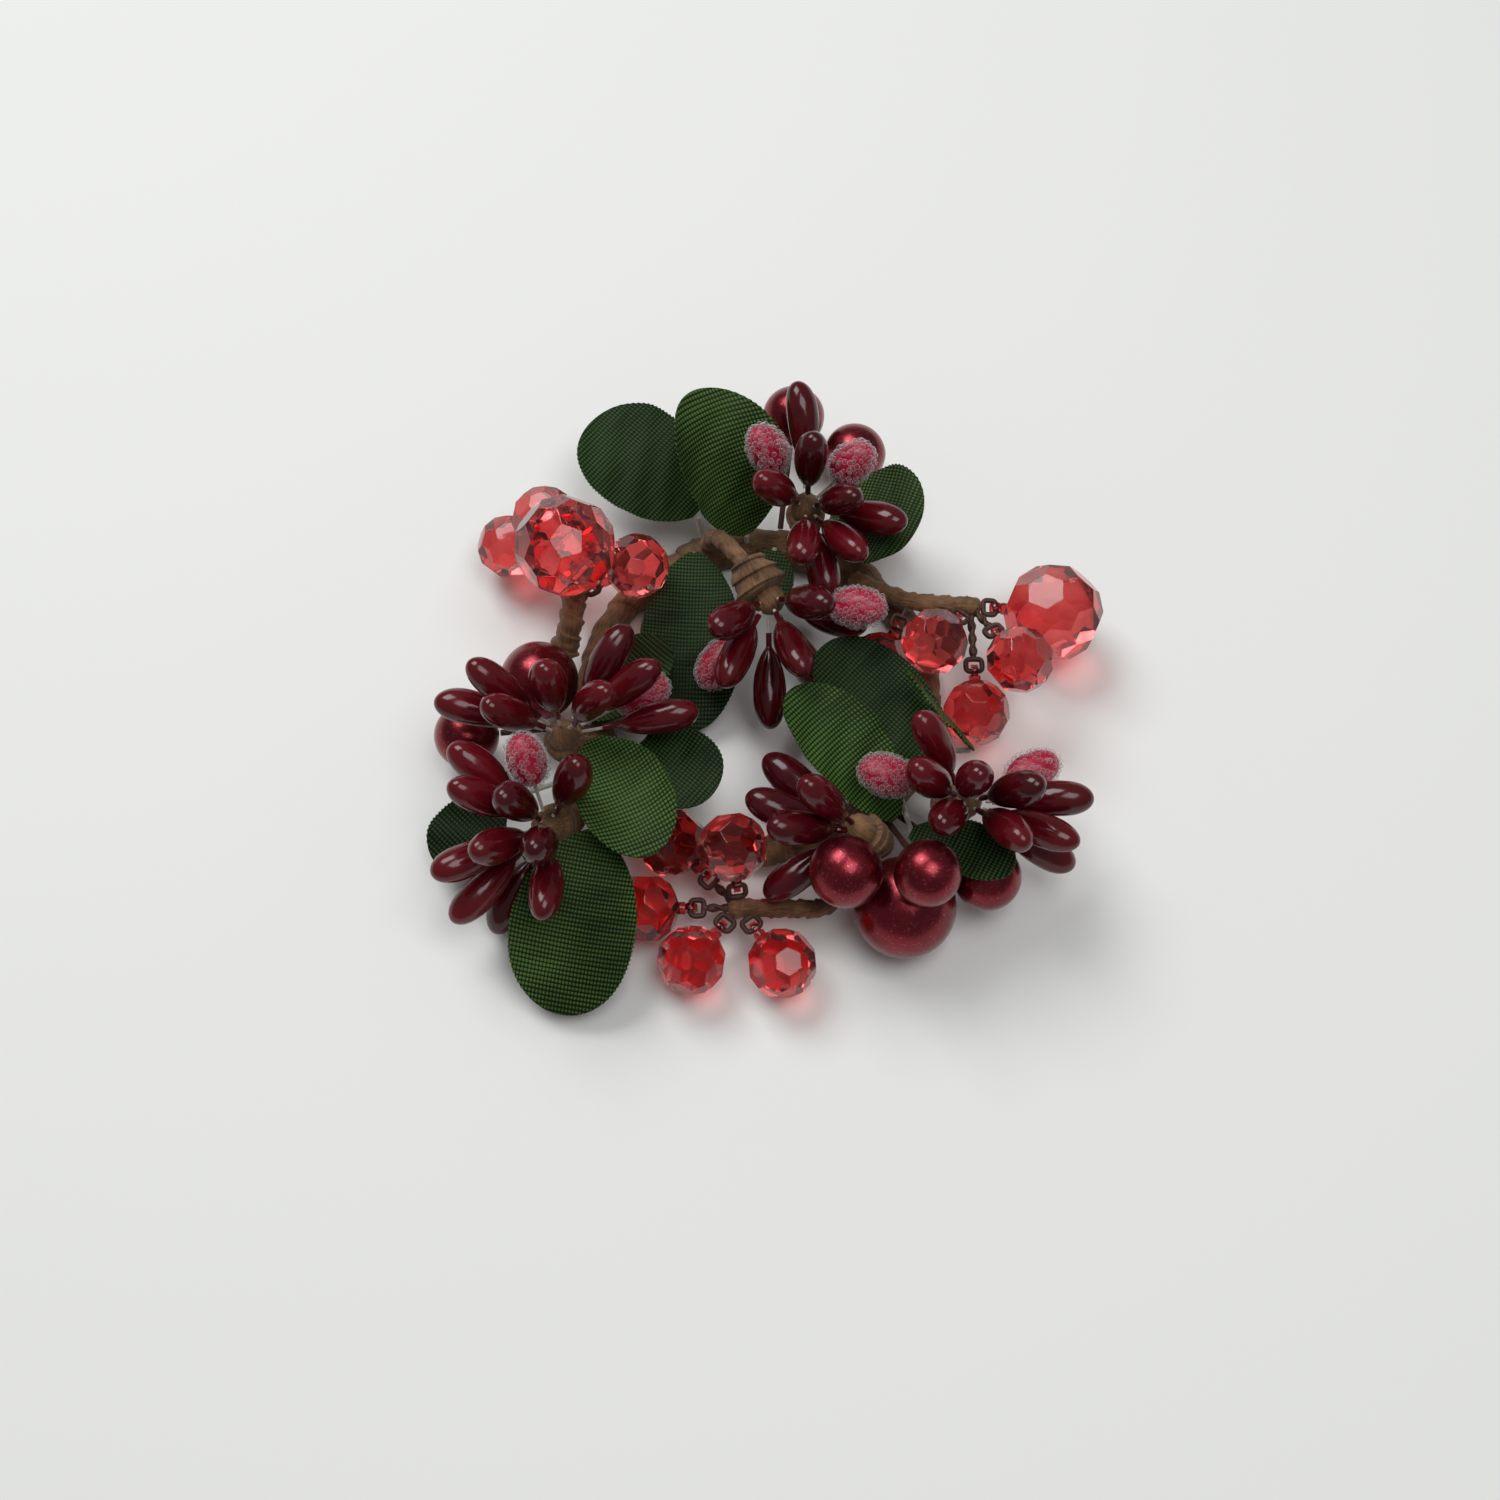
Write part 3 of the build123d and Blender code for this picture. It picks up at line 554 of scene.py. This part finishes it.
LEAF_STEP, LEAF_COLUMNS, LEAF_SEED, LEAST_SHEET = 0.125, 33, 60, 10
# The last steps of the tip, in mm before its end, and the share and half width where the cloth thins out.
TIP_STEPS, THIN_SHARE, THIN_HALF = (0.3, 0.15, 0.06, 0.015, 0), 0.3, 1.5
EDGE_WAVE, EDGE_PITCH = 0.24, 9
CROSS_WAVE, CROSS_PITCH, CROSS_SLANT, CROSS_START = 0.1, 5.5, 0.6, 4


def woven_cloth(name, gap, thread):
    """Stiffened plain-woven polyester: thick ribs across the leaf, finer threads along it. The colour is
    painted shade, near black, between the threads, with broad painted patches of sheen and shade, and painted
    glints on some uneven threads. The threads are a little coarser than real ones, to show."""
    material = finish_of(name, {"Roughness": 0.45, "Specular IOR Level": 0.1})
    flat = add_node(material, "ShaderNodeUVMap", {}, uv_map="flat").outputs[0]
    axes = add_node(material, "ShaderNodeSeparateXYZ", {0: flat})
    threads = []
    for axis, pitch, power in ((0, RIB_PITCH, RIB_POWER), (1, THREAD_PITCH, THREAD_POWER)):
        place = reckon(material, "MULTIPLY", axes.outputs[axis], np.pi / pitch)
        wave = reckon(material, "ABSOLUTE", reckon(material, "SINE", place))
        threads.append(reckon(material, "POWER", wave, power))
    # The relief of the threads also sets the colour: painted shade, near black, in the gaps between them.
    raised_and_gap_shade = reckon(material, "MULTIPLY", *threads)
    # Broad patches of painted sheen and painted shade across the leaf.
    sheen_and_shade_patches = speckle(material, size=14, detail=1.0)
    sheen_and_shade_patches = ranged(material, sheen_and_shade_patches, low=0.36, high=0.64, to_low=0.75, to_high=1.8)
    # Uneven tone along the threads, the lightest of them painted glints.
    slub_and_glints = add_node(material, "ShaderNodeMapping", {"Vector": flat, "Scale": (1.6, 0.12, 1)}).outputs[0]
    slub_and_glints = add_node(material, "ShaderNodeTexNoise", {"Vector": slub_and_glints, "Scale": 1.0, "Detail": 2.0}).outputs[0]
    slub_and_glints = ranged(material, slub_and_glints, low=0.3, high=0.75, to_low=0.7, to_high=1.4)
    share = reckon(material, "MULTIPLY", raised_and_gap_shade, reckon(material, "MULTIPLY", sheen_and_shade_patches, slub_and_glints), use_clamp=True)
    dress(material, {"Base Color": between(material, share, linear(gap), linear(thread)),
                     "Normal": relief(material, raised_and_gap_shade, strength=0.6, depth=0.12)})
    return material


# The first colour of each cloth is the painted shade between its threads.
cloths = {"dark": woven_cloth("polyester_cloth_dark_green", "#040903", "#365128"),
          "mid": woven_cloth("polyester_cloth_green", "#060e04", "#4e6c33"),
          "light": woven_cloth("polyester_cloth_light_green", "#071104", "#4e7034")}
# The plastic cover of the leaf wires is off-white and scuffed.
white_wire = finish_of("white_plastic_covered_wire", {"Roughness": 0.4})
scuff = speckle(white_wire, size=1.2, detail=3.0)
dress(white_wire, {"Base Color": between(white_wire, scuff, linear("#8f8c80"), linear("#e4e2da"))})
paint(white_wire, "leaf_wires")


def leaf_outline(along, length, width):
    """Half width of an oval, widest past its middle, with a narrow stalk and a saw edge."""
    share = np.clip(along / length, 0, 1)
    oval = np.clip(1 - np.abs(2 * share ** OVAL_SHIFT - 1) ** OVAL_POWER, 0, 1) ** 0.5
    saw = SAW_DEPTH * np.abs((along / RIB_PITCH) % 1 - 0.5) * np.clip((1 - share) / SAW_FADE, 0, 1)
    return np.hypot(width / 2 * oval, STALK * (1 - share)) - saw * oval


def leaf_shell(along, across, bend, cup):
    """Height of a sheet bent to one radius along it and cupped to another across it."""
    rise = np.sign(cup) * (abs(cup) - np.sqrt(cup * cup - across * across))
    turn = bend - rise
    return bend - turn * np.sqrt(1 - (along / turn) ** 2)


def leaf_ripple(along, across, half_width, seed):
    """Waves of the heated cloth: a long one that grows toward both edges, and a slanting one that grows from
    the stalk."""
    phase = np.random.default_rng(seed).uniform(0, ANY_PHASE, 4)
    edge = np.sin(FULL_TURN * along / EDGE_PITCH + phase[0] + np.sign(across) * phase[1])
    cross = np.sin(FULL_TURN * (along + CROSS_SLANT * across) / CROSS_PITCH + phase[2])
    return (EDGE_WAVE * edge * (np.abs(across) / half_width) ** 2
            + CROSS_WAVE * cross * np.minimum(along / CROSS_START, 1))


across = np.sin(np.linspace(-np.pi / 2, np.pi / 2, LEAF_COLUMNS))
loop = np.concatenate([across, across[::-1], across[:1]])
face = np.concatenate([np.full(LEAF_COLUMNS, CLOTH), np.zeros(LEAF_COLUMNS), [CLOTH]])
for number, (name, (stalk, pose, shape, cloth)) in enumerate(LEAVES.items()):
    (bearing, lift, roll), (length, width, bend, cup) = pose, shape
    along = np.linspace(0, length, int(length / LEAF_STEP))
    along = np.concatenate([along[:1 - len(TIP_STEPS)], length - np.array(TIP_STEPS)])
    half = leaf_outline(along, length, width)
    half[-1] = 0
    x, y = np.broadcast_arrays(along[:, None], half[:, None] * loop)
    thick = face * np.minimum(1, THIN_SHARE + half[:, None] / THIN_HALF)
    z = leaf_shell(x, y, bend, cup) + leaf_ripple(x, y, width / 2, LEAF_SEED + number) + thick
    ahead, upward = aim(bearing, lift), aim(bearing, lift + 90)
    normal = upward * np.cos(np.radians(roll)) + np.cross(upward, ahead) * np.sin(np.radians(roll))
    sideways = np.cross(normal, ahead)
    grid = np.array(stalk) + x[..., None] * ahead + y[..., None] * sideways + z[..., None] * normal
    leaf = skin(f"{name}_cloth", grid[None], np.stack([x, y], -1)[None])
    fit(leaf, cloths[cloth], "ring", "leaf_cloth", name)

# Bead sprigs: three stems of twisted wire ends wound loosely with the same tape, from a rounded root beside
# the hoop, round a bend, to a knot. Root bearing and angle, bend, knot, radius of the turn and tape width.
SPRIGS = {
    "left": ((168, 40), (-28.3, 8.6, 9.0), (-27.7, 12.2, 11.0), 3.0, 3.8),
    "right": ((47, 122), (22.8, 12.4, 8.6), (32.0, 10.8, 10.0), 8.0, 2.8),
    "front": ((-66, 25), (10.6, -35.6, 4.6), (-2.9, -35.7, 5.5), 4.0, 2.8),
}
ROOT_GAP, ROOT_EXTRA, KNOT_EXTRA = 0.3, 0.4, 0.25
SPRIG_TAPE, SPRIG_STRETCH, SPRIG_CORE, SPRIG_SEED = (2.6, 0.17, 0.07), 1.6, 0.86, 41
END_RUN, END_ROWS, SPRIG_ROWS, SPRIG_SIDES, PATH_STEPS = 0.3, 9, 181, 37, 41
for number, (side, (root, bend, knot, turn, width)) in enumerate(SPRIGS.items()):
    root_radius, knot_radius = width / 2 + ROOT_EXTRA, width / 2 + KNOT_EXTRA
    start = on_hoop(root[0]) + aim(*root) * (BINDING_RADIUS + ROOT_GAP + root_radius)
    bend, knot = np.array(bend), np.array(knot)
    inward, onward = unit(bend - start), unit(knot - bend)
    cut = turn * np.tan(np.arccos(inward @ onward) / 2)
    t = np.linspace(0, 1, PATH_STEPS)[:, None]
    first, last = start - inward * root_radius, knot + onward * knot_radius
    before, after = bend - inward * cut, bend + onward * cut
    corner = before * (1 - t) ** 2 + 2 * bend * t * (1 - t) + after * t * t
    path = np.concatenate([first + (before - first) * t, corner[1:], (after + (last - after) * t)[1:]])
    along = walked(path)
    total = along[-1]
    spaced = np.concatenate([np.linspace(0, END_RUN, END_ROWS)[:-1],
                             np.linspace(END_RUN, total - END_RUN, SPRIG_ROWS),
                             np.linspace(total - END_RUN, total, END_ROWS)[1:]])
    path = np.stack([np.interp(spaced, along, path[:, axis]) for axis in range(3)], -1)
    along, around = rings(spaced, SPRIG_SIDES)
    knob = np.sqrt(np.clip(root_radius ** 2 - (along - root_radius) ** 2, 0, None))
    tied = np.sqrt(np.clip(knot_radius ** 2 - (total - along - knot_radius) ** 2, 0, None))
    middle = width / 2 * ((along > root_radius) & (along < total - knot_radius))
    body = np.maximum(np.maximum(knob, tied), middle)
    tape = winding(along, around, *SPRIG_TAPE, SPRIG_SEED + number, SPRIG_STRETCH)
    stem = tube(path, body * (SPRIG_CORE + tape), around)
    sprig = skin(f"{side}_sprig_tape_wound", stem[None], np.stack([along, around * width / 2], -1)[None])
    fit(sprig, tape_brown, f"{side}_sprig", "crepe_tape", f"{side}_sprig_tape")

# Beads: clear red acrylic, moulded with twelve five-sided and twenty six-sided flats, softened edges, and a
# shank whose eye hangs on its wire loop. How many hang on each sprig.
BEADS = {"left": 4, "right": 5, "front": 5}
BEAD_MERGE, SAME_FLAT, EDGE_WIDTH, EDGE_ANGLE = 0.002 * MM, np.radians(1), 0.12 * MM, np.radians(20)
# The acrylic is bright and clear, with faint swirls from the mould in its tint and on its flats.
acrylic = finish_of("clear_red_acrylic", {
    "Roughness": 0.03, "Transmission Weight": 1.0, "IOR": 1.49, "Alpha": 0.96})
swirl = speckle(acrylic, size=5, detail=3.0)
tint = ranged(acrylic, swirl, low=0.35, high=0.65)
dress(acrylic, {"Base Color": between(acrylic, tint, linear("#e23238"), linear("#f05c58")),
                "Normal": relief(acrylic, swirl, strength=0.06, depth=0.2)})
for name in [f"{side}_bead_{number}" for side, count in BEADS.items() for number in range(1, count + 1)]:
    work = bmesh.new()
    work.from_mesh(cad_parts[name].data)
    bmesh.ops.remove_doubles(work, verts=work.verts, dist=BEAD_MERGE)
    bmesh.ops.dissolve_limit(work, angle_limit=SAME_FLAT, verts=work.verts, edges=work.edges)
    mesh = bpy.data.meshes.new(f"{name}_acrylic")
    work.to_mesh(mesh)
    work.free()
    bead = bpy.data.objects.new(f"{name}_acrylic", mesh)
    bpy.context.scene.collection.objects.link(bead)
    soften = bead.modifiers.new("moulded_edge", "BEVEL")
    soften.width, soften.segments = EDGE_WIDTH, 2
    soften.limit_method, soften.angle_limit = "ANGLE", EDGE_ANGLE
    fit(bead, acrylic, name, "red_acrylic", name)

# Table: a plain pale sheet under soft light from above, and the camera above the front of the ring. Each
# lamp's place and size are in metres and its power in watts.
TABLE_REACH, ROOM_LIGHT = 2, 0.2
LAMPS = {"window": ((-0.35, 0.45, 0.8), 0.5, 4.9), "ceiling": ((0.2, -0.1, 0.9), 0.5, 3.1)}
floor_mesh = bpy.data.meshes.new("table")
floor_mesh.from_pydata([(-TABLE_REACH, -TABLE_REACH, 0), (TABLE_REACH, -TABLE_REACH, 0),
                        (TABLE_REACH, TABLE_REACH, 0), (-TABLE_REACH, TABLE_REACH, 0)], [], [(0, 1, 2, 3)])
table = bpy.data.objects.new("table", floor_mesh)
bpy.context.scene.collection.objects.link(table)
table.data.materials.append(finish_of("pale_table", {"Base Color": linear("#f2f3f0"), "Roughness": 0.7}))

world = bpy.data.worlds.new("soft_room")
bpy.context.scene.world = world
world.use_nodes = True
sky = world.node_tree.nodes["Background"]
sky.inputs["Color"].default_value = linear("#f4f6f8")
sky.inputs["Strength"].default_value = ROOM_LIGHT
for name, (place, size, power) in LAMPS.items():
    lamp = bpy.data.lights.new(name, "AREA")
    lamp.size, lamp.energy = size, power
    light = bpy.data.objects.new(name, lamp)
    light.location = place
    light.rotation_euler = (np.arctan2(np.hypot(place[0], place[1]), place[2]), 0,
                            np.arctan2(place[0], -place[1]))
    bpy.context.scene.collection.objects.link(light)

ELEVATION, DISTANCE, TARGET = np.radians(66), 295.45, np.array([-1.3, -8.5, 0])
FOCAL_LENGTH, SENSOR_WIDTH, NEAREST = 46.8, 36.0, 0.01
lens = bpy.data.cameras.new("photo_camera")
lens.lens, lens.sensor_width, lens.clip_start = FOCAL_LENGTH, SENSOR_WIDTH, NEAREST
camera = bpy.data.objects.new("photo_camera", lens)
camera.location = (TARGET + DISTANCE * np.array([0, -np.cos(ELEVATION), np.sin(ELEVATION)])) * MM
camera.rotation_euler = (np.pi / 2 - ELEVATION, 0, 0)
bpy.context.scene.collection.objects.link(camera)
bpy.context.scene.camera = camera
bpy.context.scene.view_settings.view_transform = "Standard"
